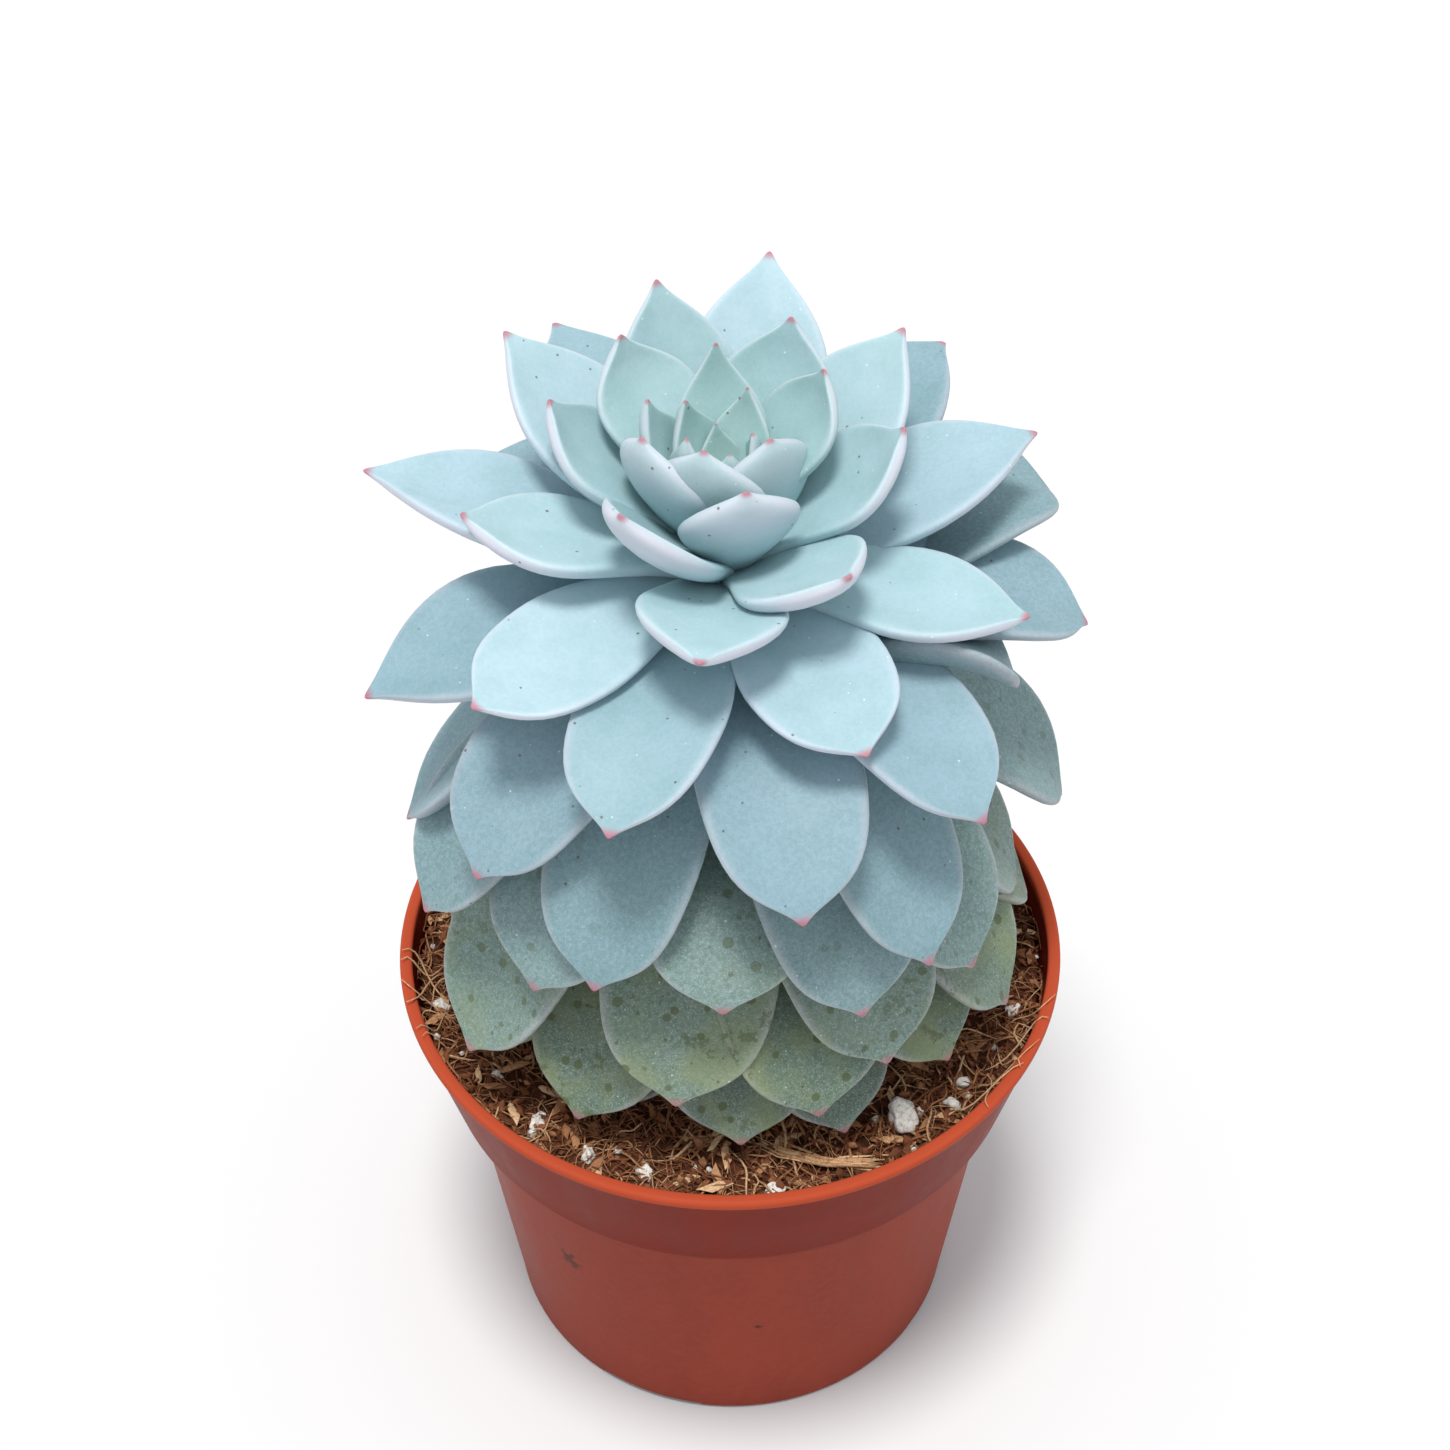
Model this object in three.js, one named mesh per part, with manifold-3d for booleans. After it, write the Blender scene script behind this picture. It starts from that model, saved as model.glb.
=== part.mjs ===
// A potted blue bird echeveria: one stem covered in fleshy leaves, in potting soil with perlite
// and coir, in a thin plastic nursery pot. Millimetres, +Z up; the pot's underside is centred on
// the origin and the plant is seen from -Y. Azimuths run from -Y (0 degrees) towards +X.
import * as THREE from "three";
import { mergeVertices } from "three/addons/utils/BufferGeometryUtils.js";
import Module from "manifold-3d";

const wasm = await Module();
wasm.setup();

// Pot
const RIM_DIAMETER = 120; // a standard 12 cm nursery pot
const POT_HEIGHT = 89.6;
const WALL = 1.3;
const FLOOR = 1.8;
const BASE_RADIUS = 42.8;
const SHOULDER_LOW = { radius: 50.3, height: 61.9 };
const SHOULDER_TOP = { radius: 54, height: 64.9 };
const LIP_DEPTH = 2.2;
const LIP_THICKNESS = 2;
const FOOT_NOTCH = { count: 4, first: -22, width: 28, height: 1.3, depth: 8 };
const DRAIN_HOLE = { count: 6, ring: 27, radius: 4 };
const POT_SIDES = 60;

// Soil
const GAP = 0.3; // between pieces that touch
const SOIL_LEVEL = 82.6;
const SOIL_BUMP = 0.9;
const SOIL_RINGS = 7;
const STEM_HOLE_DEPTH = 18;
const COIR_STRANDS = 12;

// Plant
const STEM = { foot: 7, top: 2.2, buried: 14, tip: 190.5 };
const GOLDEN_ANGLE = 137.508;
const FIRST_AZIMUTH = -115.8; // of leaf 0, the youngest
const LEAVES = 99;
const LEAF_ROOT_RADIUS = 4; // leaf bases start inside the stem

// The rosette is tipped a little towards -Y: leaf number, and how far the tip of a leaf right at
// the back stands higher (mm) and steeper (degrees) than the rule for its age says.
const BACK_LIFT = [[16, 0], [24, 8], [32, 18], [40, 20], [48, 16], [56, 6], [64, 0]];
const BACK_TURN = [[20, 0], [26, 22], [30, 38], [40, 40], [48, 20], [56, 0]];
const ROLL = 7; // degrees, the most that a leaf is turned about its own length
const CHANNEL = 0.24; // how far the edges stand over the midrib, as a share of half the width
const HANDLE = 0.38; // share of the chord that each end's slope holds for

// How a leaf changes with age: leaf number, how far out and how high its tip is, how high on the
// stem it is rooted, its slope in degrees where it leaves the stem and at its tip, and its width.
const AGES = [
  { leaf: 0, reach: 1, tip: 201, root: 194, rise: 85, finish: 95, width: 5 },
  { leaf: 6, reach: 5, tip: 207, root: 192.5, rise: 75, finish: 102, width: 11 },
  { leaf: 11, reach: 8, tip: 210, root: 190, rise: 68, finish: 100, width: 16 },
  { leaf: 16, reach: 12, tip: 210, root: 187, rise: 62, finish: 94, width: 19 },
  { leaf: 20, reach: 16, tip: 207, root: 184, rise: 56, finish: 84, width: 21 },
  { leaf: 24, reach: 29, tip: 205, root: 182, rise: 44, finish: 62, width: 22.5 },
  { leaf: 28, reach: 41, tip: 195, root: 180, rise: 30, finish: 25, width: 23.5 },
  { leaf: 33, reach: 52, tip: 184, root: 177, rise: 18, finish: -5, width: 24.5 },
  { leaf: 38, reach: 58, tip: 167, root: 174, rise: 8, finish: -34, width: 26.5 },
  { leaf: 44, reach: 56, tip: 149, root: 170, rise: 0, finish: -54, width: 26.5 },
  { leaf: 50, reach: 54, tip: 134, root: 165, rise: -6, finish: -60, width: 28 },
  { leaf: 56, reach: 53, tip: 122, root: 157, rise: -8, finish: -62, width: 29 },
  { leaf: 64, reach: 51, tip: 109, root: 146, rise: -10, finish: -60, width: 30 },
  { leaf: 74, reach: 51, tip: 99, root: 131, rise: -10, finish: -56, width: 30 },
  { leaf: 86, reach: 50, tip: 89.5, root: 112, rise: -8, finish: -46, width: 28 },
  { leaf: 90, reach: 48.5, tip: 88.8, root: 107.4, rise: -7, finish: -40, width: 27 },
  { leaf: 92, reach: 40, tip: 87, root: 99, rise: -2, finish: -24, width: 23 },
  { leaf: 99, reach: 31, tip: 86.4, root: 92, rise: 2, finish: -10, width: 19 },
];

// Where the photographed plant departs from the rule: leaf number, then how far its tip is turned
// round the stem (degrees), moved out and moved up, and for a few how far the leaf is rolled about
// its own length (degrees).
const DEPARTURES = new Map([
  [0, [0, 0, -3]], [1, [0, 0, -4]], [2, [0, -1, -5]], [3, [9, 2, 0]], [4, [0, -1, -5]],
  [5, [0, -1, -6]], [6, [18, 3, 2]], [7, [4, -2, -3]], [8, [7, 2, 0]], [9, [2, -3, -3]],
  [10, [4, 1, 0]], [11, [15, 7, 2]], [12, [0, -4, -8]], [13, [-1, 3, 0]], [14, [6, 8, 0]],
  [15, [-2, -1, 0]], [16, [16, 14, 0]], [17, [2, -6, -3, -25]], [18, [3, 0, 0, 25]],
  [19, [6, 12, -1]], [20, [-4, 0, 0]], [21, [16, 10, -4]], [22, [-5, 5, -4]],
  [24, [16, 4, 0]], [25, [-12, 0, -4]], [26, [10, 7, -9]], [29, [15, 3, 0]], [30, [-11, 5, -11]],
  [31, [9, 4, -12]], [32, [8, 2, 0]], [33, [0, -5, -8]], [34, [12, 6, 0]], [36, [7, 0, -4]],
  [37, [13, 4, 0]], [38, [-16, 0, -7]], [39, [5, 3, -5]], [40, [-2, 3, 9]], [41, [5, 0, -4]],
  [43, [0, 3, 3]], [44, [0, 0, -5]], [46, [-5, 2, -10]], [47, [22, 1, -14, 15]], [48, [-7, 7, 20]],
  [49, [-10, 0, -5]], [51, [0, -5, 30, -35]], [52, [4, 4, -7]], [54, [5, 0, -2]], [56, [-13, 5, 0]],
  [57, [-4, 0, 2]], [62, [0, 0, 16]], [65, [0, 5, -11]], [70, [11, 0, 0]], [72, [0, 3, -3]],
  [75, [6, 0, 0]], [77, [-5, 3, 3]], [78, [10, 0, -5]], [80, [5, 0, 0]], [83, [11, -2, -2]],
]);

// Leaf outlines: share of the length from root to tip, half width as a share of the greatest. Buds
// are widest low down, rosette leaves draw in to a point, and column leaves are full to the tip.
const BUD_OUTLINE = [[0, 0.6], [0.28, 0.92], [0.4, 1], [0.52, 0.97], [0.62, 0.84], [0.86, 0.31], [1, 0]];
const ROSETTE_OUTLINE = [[0, 0.44], [0.25, 0.64], [0.38, 0.82], [0.5, 0.96], [0.59, 1], [0.76, 0.84],
  [0.88, 0.48], [0.95, 0.19], [1, 0]];
const COLUMN_OUTLINE = [[0, 0.44], [0.25, 0.63], [0.38, 0.81], [0.5, 0.95], [0.6, 1], [0.78, 0.9],
  [0.9, 0.57], [0.96, 0.24], [1, 0]];
const FLESH = [[0, 0.9], [0.3, 1], [0.6, 0.88], [0.8, 0.7], [0.92, 0.5], [1, 0.15]]; // thickness
const THICKNESS = { least: 1, share: 0.3 }; // at the midrib, with a share of half the width
const UPPER = 0.4; // share of the thickness over the midrib curve, the rest is under it

// Kinds of leaf by number, with the places of their rings from tip to root.
const KINDS = [
  { until: 14, outline: BUD_OUTLINE, sides: 6, rings: [1, 0.84, 0.55, 0.25, 0] },
  { until: 42, outline: ROSETTE_OUTLINE, sides: 8, rings: [1, 0.93, 0.8, 0.61, 0.36, 0] },
  { until: Infinity, outline: COLUMN_OUTLINE, sides: 8, rings: [1, 0.93, 0.78, 0.54, 0.26, 0] },
];

const radians = THREE.MathUtils.degToRad;

// The value at x on straight stretches between the given points.
function along(points, x) {
  const next = points.findIndex(([at]) => at >= x);
  if (next < 1) return points[next === 0 ? 0 : points.length - 1][1];
  const [[x0, y0], [x1, y1]] = [points[next - 1], points[next]];
  return y0 + ((y1 - y0) * (x - x0)) / (x1 - x0);
}

const age = (leaf, what) => along(AGES.map((stage) => [stage.leaf, stage[what]]), leaf);

// A repeatable draw between 0 and 1 for each whole number.
function draw(seed) {
  const x = Math.sin(seed * 12.9898 + 4.1414) * 43758.5453;
  return x - Math.floor(x);
}

// Solids for joining and cutting, and back.
function solid(geometry) {
  const plain = geometry.clone();
  plain.deleteAttribute("normal");
  plain.deleteAttribute("uv");
  const merged = mergeVertices(plain, 1e-4);
  return new wasm.Manifold(
    new wasm.Mesh({
      numProp: 3,
      vertProperties: new Float32Array(merged.attributes.position.array),
      triVerts: new Uint32Array(merged.index.array),
    }),
  );
}

function geometryOf(body) {
  const mesh = body.getMesh();
  const geometry = new THREE.BufferGeometry();
  geometry.setAttribute("position", new THREE.BufferAttribute(mesh.vertProperties, 3));
  geometry.setIndex(new THREE.BufferAttribute(mesh.triVerts, 1));
  return geometry;
}

// A turned shape about the Z axis from [radius, height] points.
function turned(points, sides) {
  const lathe = new THREE.LatheGeometry(
    points.map(([radius, height]) => new THREE.Vector2(radius, height)),
    sides,
  );
  return lathe.rotateX(Math.PI / 2);
}

function named(name, body, color, roughness) {
  const material = new THREE.MeshStandardMaterial({ color, roughness, metalness: 0 });
  const mesh = new THREE.Mesh(geometryOf(body), material);
  mesh.name = name;
  return mesh;
}

// Direction out from the axis at an azimuth, at height z and distance r.
function place(azimuth, r, z) {
  const a = radians(azimuth);
  return new THREE.Vector3(r * Math.sin(a), -r * Math.cos(a), z);
}

// Pot
const RIM_RADIUS = RIM_DIAMETER / 2;
const bandTop = POT_HEIGHT - LIP_DEPTH;

function potWall(height) {
  const outer = [[0, BASE_RADIUS], [SHOULDER_LOW.height, SHOULDER_LOW.radius],
    [SHOULDER_TOP.height, SHOULDER_TOP.radius], [bandTop, RIM_RADIUS - 0.4]];
  return along(outer, height) - WALL;
}

function potBody() {
  const profile = [
    [0, 0],
    [BASE_RADIUS - 1.2, 0],
    [BASE_RADIUS - 0.3, 0.5],
    [BASE_RADIUS + 0.2, 1.6],
    [SHOULDER_LOW.radius, SHOULDER_LOW.height],
    [SHOULDER_TOP.radius - 0.5, SHOULDER_TOP.height - 0.6],
    [SHOULDER_TOP.radius, SHOULDER_TOP.height],
    [RIM_RADIUS - 0.4, bandTop],
    [RIM_RADIUS + 0.3, bandTop + 0.4],
    [RIM_RADIUS + 0.3, POT_HEIGHT - 0.5],
    [RIM_RADIUS - 0.2, POT_HEIGHT],
    [RIM_RADIUS - LIP_THICKNESS + 0.4, POT_HEIGHT],
    [RIM_RADIUS - LIP_THICKNESS, POT_HEIGHT - 0.5],
    [potWall(bandTop), bandTop - 1],
    [SHOULDER_TOP.radius - WALL, SHOULDER_TOP.height + 0.8],
    [SHOULDER_LOW.radius - WALL, SHOULDER_LOW.height + 0.8],
    [potWall(FLOOR + 1), FLOOR + 1],
    [potWall(0) - 1, FLOOR],
    [0, FLOOR],
  ];
  let body = solid(turned(profile, POT_SIDES));
  for (let i = 0; i < FOOT_NOTCH.count; i++) {
    const width = 2 * BASE_RADIUS * Math.sin(radians(FOOT_NOTCH.width / 2));
    const cutter = new THREE.BoxGeometry(width, 2 * FOOT_NOTCH.depth, 2 * FOOT_NOTCH.height);
    const azimuth = FOOT_NOTCH.first + (i * 360) / FOOT_NOTCH.count;
    cutter.rotateZ(radians(azimuth));
    cutter.translate(...place(azimuth, BASE_RADIUS, 0).toArray());
    body = body.subtract(solid(cutter));
  }
  for (let i = 0; i < DRAIN_HOLE.count; i++) {
    const cutter = new THREE.CylinderGeometry(DRAIN_HOLE.radius, DRAIN_HOLE.radius, 4 * FLOOR, 12);
    cutter.rotateX(Math.PI / 2);
    cutter.translate(...place((i * 360) / DRAIN_HOLE.count, DRAIN_HOLE.ring, FLOOR / 2).toArray());
    body = body.subtract(solid(cutter));
  }
  return body;
}

// Soil: the top is raised by a few waves and slopes up a little to the wall.
function soilTop(x, y) {
  const r = Math.hypot(x, y);
  const waves =
    Math.sin(0.31 * x + 1.3) * Math.cos(0.27 * y - 0.4) +
    0.6 * Math.sin(0.63 * x - 0.51 * y + 2.1) +
    0.4 * Math.cos(0.95 * x + 0.8 * y);
  const inside = 1 - (r / RIM_RADIUS) ** 12;
  return SOIL_LEVEL + (SOIL_BUMP * waves * inside) / 2 + 1.6 * (r / RIM_RADIUS) ** 4 - 0.8;
}

function soilBody(grains) {
  const inner = (height) => potWall(height) - GAP;
  const edge = inner(SOIL_LEVEL - 0.8);
  const profile = [
    [0, FLOOR + GAP],
    [inner(FLOOR + 1) - 1.2, FLOOR + GAP],
    [inner(FLOOR + 2), FLOOR + 2],
    [inner(SHOULDER_LOW.height), SHOULDER_LOW.height + 0.6],
    [inner(SHOULDER_TOP.height), SHOULDER_TOP.height + 1.8],
  ];
  const sideRows = profile.length;
  for (let i = 0; i <= SOIL_RINGS; i++) profile.push([edge * (1 - i / SOIL_RINGS), SOIL_LEVEL]);
  const geometry = turned(profile, POT_SIDES);
  const points = geometry.attributes.position;
  for (let i = 0; i < points.count; i++) {
    if (i % profile.length >= sideRows) points.setZ(i, soilTop(points.getX(i), points.getY(i)));
  }
  let body = solid(geometry);
  for (let i = 0; i < COIR_STRANDS; i++) body = body.add(solid(strand(i)));
  for (const grain of grains) body = body.subtract(solid(grainGeometry(grain, GAP)));
  const hole = new THREE.CylinderGeometry(STEM.foot + GAP, STEM.foot + GAP, 2 * STEM_HOLE_DEPTH, 24);
  hole.rotateX(Math.PI / 2);
  hole.translate(0, 0, SOIL_LEVEL);
  return body.subtract(solid(hole));
}

// A coarse coir fibre that lies in the surface, half sunk, with both ends in the soil.
function strand(index) {
  const azimuth = 360 * draw(index + 100);
  const r = 37 + 17 * draw(index + 200);
  const heading = azimuth + 60 + 60 * draw(index + 300);
  const length = 11 + 12 * draw(index + 400);
  const middle = place(azimuth, r, 0);
  const reach = place(heading, length / 2, 0);
  const points = [-1, -0.5, 0, 0.5, 1].map((t) => {
    const sway = place(heading + 90, 1.6 * Math.sin(3 * t + index), 0);
    const p = middle.clone().addScaledVector(reach, t).add(sway);
    const limit = potWall(SOIL_LEVEL) - GAP - 1.5;
    const away = Math.hypot(p.x, p.y);
    if (away > limit) p.multiplyScalar(limit / away);
    p.z = soilTop(p.x, p.y) + 0.35 - 1.1 * t * t;
    return p;
  });
  const section = new THREE.Shape([
    new THREE.Vector2(0.45, 0),
    new THREE.Vector2(0, 0.45),
    new THREE.Vector2(-0.45, 0),
    new THREE.Vector2(0, -0.45),
  ]);
  return new THREE.ExtrudeGeometry(section, {
    steps: 4,
    bevelEnabled: false,
    extrudePath: new THREE.CatmullRomCurve3(points),
  });
}

// Perlite: azimuth, distance from the axis and size across.
const GRAINS = [
  { azimuth: 39, r: 47.5, size: 6.6 },
  { azimuth: -42, r: 50.5, size: 3.6 },
  { azimuth: -29, r: 51, size: 3.1 },
  { azimuth: -17, r: 50.6, size: 3.4 },
  { azimuth: 8, r: 53.4, size: 3.2 },
  { azimuth: 49, r: 51.8, size: 3.4 },
  { azimuth: 55, r: 50.3, size: 3.2 },
  { azimuth: 76, r: 52.6, size: 3.2 },
  { azimuth: -78, r: 53.6, size: 3.4 },
  { azimuth: 118, r: 52.4, size: 4.4 },
  { azimuth: 163, r: 51.6, size: 3.6 },
  { azimuth: -141, r: 52.2, size: 3.8 },
];

function grainGeometry(grain, gap) {
  const detail = grain.size > 5 ? 1 : 0;
  const geometry = new THREE.DodecahedronGeometry(grain.size / 2 + gap, detail);
  geometry.scale(1, 0.8, 0.72);
  geometry.rotateX(0.4 + grain.r);
  geometry.rotateZ(radians(3 * grain.azimuth));
  const at = place(grain.azimuth, grain.r, 0);
  return geometry.translate(at.x, at.y, soilTop(at.x, at.y) + 0.1 * grain.size);
}

// Plant
function leafPlan(leaf) {
  const [turn, out, up, roll = 0] = DEPARTURES.get(leaf) ?? [0, 0, 0];
  const azimuth = FIRST_AZIMUTH - GOLDEN_ANGLE * leaf + turn;
  const back = (1 - Math.cos(radians(azimuth))) / 2;
  const lift = along(BACK_LIFT, leaf) * back;
  const loose = leaf < 12 ? 0 : ROLL * (2 * draw(leaf + 50) - 1);
  return {
    azimuth,
    root: new THREE.Vector2(Math.min(LEAF_ROOT_RADIUS, 0.6 + leaf / 8), age(leaf, "root") - 2),
    tip: new THREE.Vector2(age(leaf, "reach") + out, age(leaf, "tip") + lift + up),
    rise: radians(age(leaf, "rise")),
    finish: radians(age(leaf, "finish") + along(BACK_TURN, leaf) * back),
    halfWidth: (age(leaf, "width") / 2) * (0.95 + 0.1 * draw(leaf)),
    roll: radians(roll + loose),
  };
}

// One fleshy leaf: a closed shell whose rings run from tip to root, bent along its midrib.
function leafGeometry(leaf) {
  const plan = leafPlan(leaf);
  const handle = HANDLE * plan.root.distanceTo(plan.tip);
  const slope = (angle) => new THREE.Vector2(Math.cos(angle), Math.sin(angle));
  const midrib = new THREE.CubicBezierCurve(
    plan.root,
    plan.root.clone().addScaledVector(slope(plan.rise), handle),
    plan.tip.clone().addScaledVector(slope(plan.finish), -handle),
    plan.tip,
  );
  const outward = place(plan.azimuth, 1, 0);
  const sideways = place(plan.azimuth + 90, 1, 0);
  const upward = new THREE.Vector3(0, 0, 1);
  const [cosRoll, sinRoll] = [Math.cos(plan.roll), Math.sin(plan.roll)];
  const thickness = THICKNESS.least + THICKNESS.share * plan.halfWidth;
  const { outline, rings, sides } = KINDS.find((kind) => leaf < kind.until);
  const geometry = new THREE.SphereGeometry(1, sides, rings.length - 1);
  const points = geometry.attributes.position;
  for (let i = 0; i < points.count; i++) {
    const t = rings[Math.floor(i / (sides + 1))];
    const around = ((i % (sides + 1)) / sides) * 2 * Math.PI;
    const across = Math.cos(around);
    const through = Math.sin(around);
    const end = t === 0 || t === 1 ? 0 : 1;
    const half = plan.halfWidth * along(outline, t) * end;
    const depth = thickness * along(FLESH, t) * end * (through > 0 ? UPPER : 1 - UPPER);
    const middle = midrib.getPoint(t);
    const ahead = midrib.getTangent(t);
    const normal = outward.clone().multiplyScalar(-ahead.y).addScaledVector(upward, ahead.x);
    const side = sideways.clone().multiplyScalar(cosRoll).addScaledVector(normal, sinRoll);
    const over = normal.clone().multiplyScalar(cosRoll).addScaledVector(sideways, -sinRoll);
    const p = outward.clone().multiplyScalar(middle.x).addScaledVector(upward, middle.y);
    p.addScaledVector(side, across * half);
    p.addScaledVector(over, CHANNEL * half * across * across + depth * through);
    points.setXYZ(i, p.x, p.y, p.z);
  }
  return geometry;
}

function plantBody() {
  const foot = SOIL_LEVEL - STEM.buried;
  const shaft = [
    [0, foot],
    [STEM.foot - 2, foot],
    [STEM.foot, foot + 3],
    [STEM.foot, 150],
    [STEM.foot - 0.6, 172],
    [STEM.foot - 3.4, 184],
    [STEM.top, STEM.tip],
    [0, STEM.tip + 3],
  ];
  let body = solid(turned(shaft, 16));
  for (let leaf = 0; leaf < LEAVES; leaf++) body = body.add(solid(leafGeometry(leaf)));
  return body;
}

const group = new THREE.Group();
group.add(named("pot", potBody(), 0x9c5040, 0.42));
group.add(named("soil", soilBody(GRAINS), 0x4a3024, 0.95));
group.add(named("echeveria", plantBody(), 0xa9c6c8, 0.6));
GRAINS.forEach((grain, i) => {
  group.add(named("perlite_" + (i + 1), solid(grainGeometry(grain, 0)), 0xe4ded2, 0.9));
});

export default group;
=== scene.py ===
# %% [markdown]
# # A potted blue bird echeveria
# A blue-leaved succulent with a tall column of fleshy leaves stands in a thin plastic nursery pot,
# in peat with coir fibre and perlite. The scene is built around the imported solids: the same sizes
# and the same rule for placing leaves, with finer shapes and with real finishes.

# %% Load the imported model
import math

import bpy
import numpy as np
from mathutils import Matrix, Vector, noise


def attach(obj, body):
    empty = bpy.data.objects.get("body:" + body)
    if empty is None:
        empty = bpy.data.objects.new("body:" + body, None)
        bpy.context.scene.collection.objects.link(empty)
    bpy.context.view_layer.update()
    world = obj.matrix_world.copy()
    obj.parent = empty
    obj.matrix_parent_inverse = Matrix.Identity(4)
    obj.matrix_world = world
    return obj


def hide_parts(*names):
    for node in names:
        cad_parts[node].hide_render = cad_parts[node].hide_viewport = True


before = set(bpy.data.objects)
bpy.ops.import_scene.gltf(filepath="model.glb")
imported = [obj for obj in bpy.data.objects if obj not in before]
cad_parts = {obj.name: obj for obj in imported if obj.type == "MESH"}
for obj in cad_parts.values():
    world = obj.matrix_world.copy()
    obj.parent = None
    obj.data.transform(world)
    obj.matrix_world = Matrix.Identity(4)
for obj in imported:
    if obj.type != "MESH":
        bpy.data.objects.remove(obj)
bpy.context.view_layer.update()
MM = 0.001

# %% [markdown]
# ## Camera
# The picture looks down on the plant by 44 degrees from nearly three times the plant's height away.
# A camera could be aimed by hand with a constraint, but its place and its three turns are known
# here, so its axes are worked out from them and set in one matrix.

# %% Camera
CAMERA_DISTANCE = 513.9 * MM
CAMERA_DOWN = math.radians(44.07)
CAMERA_YAW = math.radians(-0.11)
CAMERA_ROLL = math.radians(-0.37)
CAMERA_ELEVATION = math.radians(48.36)
LENS_WIDTH = 36
LENS = 2800 / 1450 * LENS_WIDTH
POT_HEIGHT = 89.6


def axis_turned(first, second, angle):
    return first * math.cos(angle) + second * math.sin(angle)


def add_camera():
    place = Vector((0, -math.cos(CAMERA_ELEVATION), math.sin(CAMERA_ELEVATION))) * CAMERA_DISTANCE
    place.z += POT_HEIGHT * MM
    ahead = Vector((
        math.sin(CAMERA_YAW) * math.cos(CAMERA_DOWN),
        math.cos(CAMERA_YAW) * math.cos(CAMERA_DOWN),
        -math.sin(CAMERA_DOWN),
    ))
    level = ahead.cross(Vector((0, 0, 1))).normalized()
    upright = level.cross(ahead)
    right = axis_turned(level, upright, CAMERA_ROLL)
    up = axis_turned(upright, -level, CAMERA_ROLL)
    data = bpy.data.cameras.new("camera")
    data.lens = LENS
    data.sensor_width = LENS_WIDTH
    camera = bpy.data.objects.new("camera", data)
    bpy.context.scene.collection.objects.link(camera)
    camera.matrix_world = Matrix.Translation(place) @ Matrix((right, up, -ahead)).transposed().to_4x4()
    bpy.context.scene.camera = camera
    return camera


camera = add_camera()
print("camera at", [round(v, 4) for v in camera.matrix_world.translation])

# %% [markdown]
# ## Light and floor
# The object stands on pale paper under a soft light from above and a little in front. The light
# makes the soft shadow of each leaf on the one below, and a white surrounding fills the rest.
# A lamp panel close by would be brighter on the near leaves, so the lamp here is a distant one.

# %% Light and floor
FLOOR_SIZE = 6.0
FLOOR_WHITE = 0.66
SKY_STRENGTH = 0.85
LAMP_FROM = (-0.06, -0.17, 1.0)
LAMP_STRENGTH = 2.6
LAMP_SPREAD = 15
LAMP_COLOUR = (1.0, 0.985, 0.965)
SKY_COLOUR = (0.93, 0.96, 1.0, 1)


def add_lamp():
    """A lamp so far away that its light falls evenly on the whole floor."""
    data = bpy.data.lights.new("lamp", "SUN")
    data.energy = LAMP_STRENGTH
    data.angle = math.radians(LAMP_SPREAD)
    data.color = LAMP_COLOUR
    lamp = bpy.data.objects.new("lamp", data)
    bpy.context.scene.collection.objects.link(lamp)
    lamp.rotation_euler = Vector(LAMP_FROM).to_track_quat("Z", "Y").to_euler()


def add_surroundings():
    world = bpy.data.worlds.new("white surroundings")
    world.use_nodes = True
    background = world.node_tree.nodes["Background"]
    background.inputs["Color"].default_value = SKY_COLOUR
    background.inputs["Strength"].default_value = SKY_STRENGTH
    bpy.context.scene.world = world
    bpy.context.scene.view_settings.view_transform = "Standard"


def add_floor():
    bpy.ops.mesh.primitive_plane_add(size=FLOOR_SIZE)
    floor = bpy.context.object
    floor.name = "floor"
    material = bpy.data.materials.new("pale paper")
    material.use_nodes = True
    shader = material.node_tree.nodes["Principled BSDF"]
    shader.inputs["Base Color"].default_value = (FLOOR_WHITE, FLOOR_WHITE, FLOOR_WHITE, 1)
    shader.inputs["Roughness"].default_value = 0.9
    shader.inputs["Specular IOR Level"].default_value = 0.1
    floor.data.materials.append(material)


add_surroundings()
add_lamp()
add_floor()
print("floor", FLOOR_SIZE, "m across")

# %% [markdown]
# ## Helpers for shapes
# Almost every piece here is a ring that grows along an axis: the pot's wall, a leaf, a fibre. By
# hand one adds a filled circle, extrudes it and scales each new ring, so one helper does just that
# from a list of rings. Another smooths a shape with an applied subdivision, others copy a shape and
# join the copies, and the last finishes a piece: it smooths the shading, gives it its material and
# ties it to its body and the solids that it replaces.

# %% Shape helpers
def deselect_all():
    if bpy.context.mode != "OBJECT":
        bpy.ops.object.mode_set(mode="OBJECT")
    bpy.ops.object.select_all(action="DESELECT")


def pick(piece):
    deselect_all()
    piece.select_set(True)
    bpy.context.view_layer.objects.active = piece


def grow(name, sides, rings):
    """A filled circle extruded up Z through rings of (height, half width in x, half width in y)."""
    deselect_all()
    bpy.ops.mesh.primitive_circle_add(vertices=sides, radius=1, fill_type="NGON")
    piece = bpy.context.object
    piece.name = name
    bpy.ops.object.mode_set(mode="EDIT")
    bpy.ops.mesh.select_all(action="SELECT")
    height, wide, deep = rings[0]
    bpy.ops.transform.resize(value=(wide, deep, 1), center_override=(0, 0, 0))
    bpy.ops.transform.translate(value=(0, 0, height))
    for next_height, next_wide, next_deep in rings[1:]:
        rise = next_height - height
        bpy.ops.mesh.extrude_region_move(TRANSFORM_OT_translate={"value": (0, 0, rise)})
        scale = (next_wide / wide, next_deep / deep, 1)
        bpy.ops.transform.resize(value=scale, center_override=(0, 0, next_height))
        height, wide, deep = next_height, next_wide, next_deep
    bpy.ops.mesh.select_all(action="SELECT")
    bpy.ops.mesh.normals_make_consistent(inside=False)
    bpy.ops.object.mode_set(mode="OBJECT")
    return piece


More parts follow.
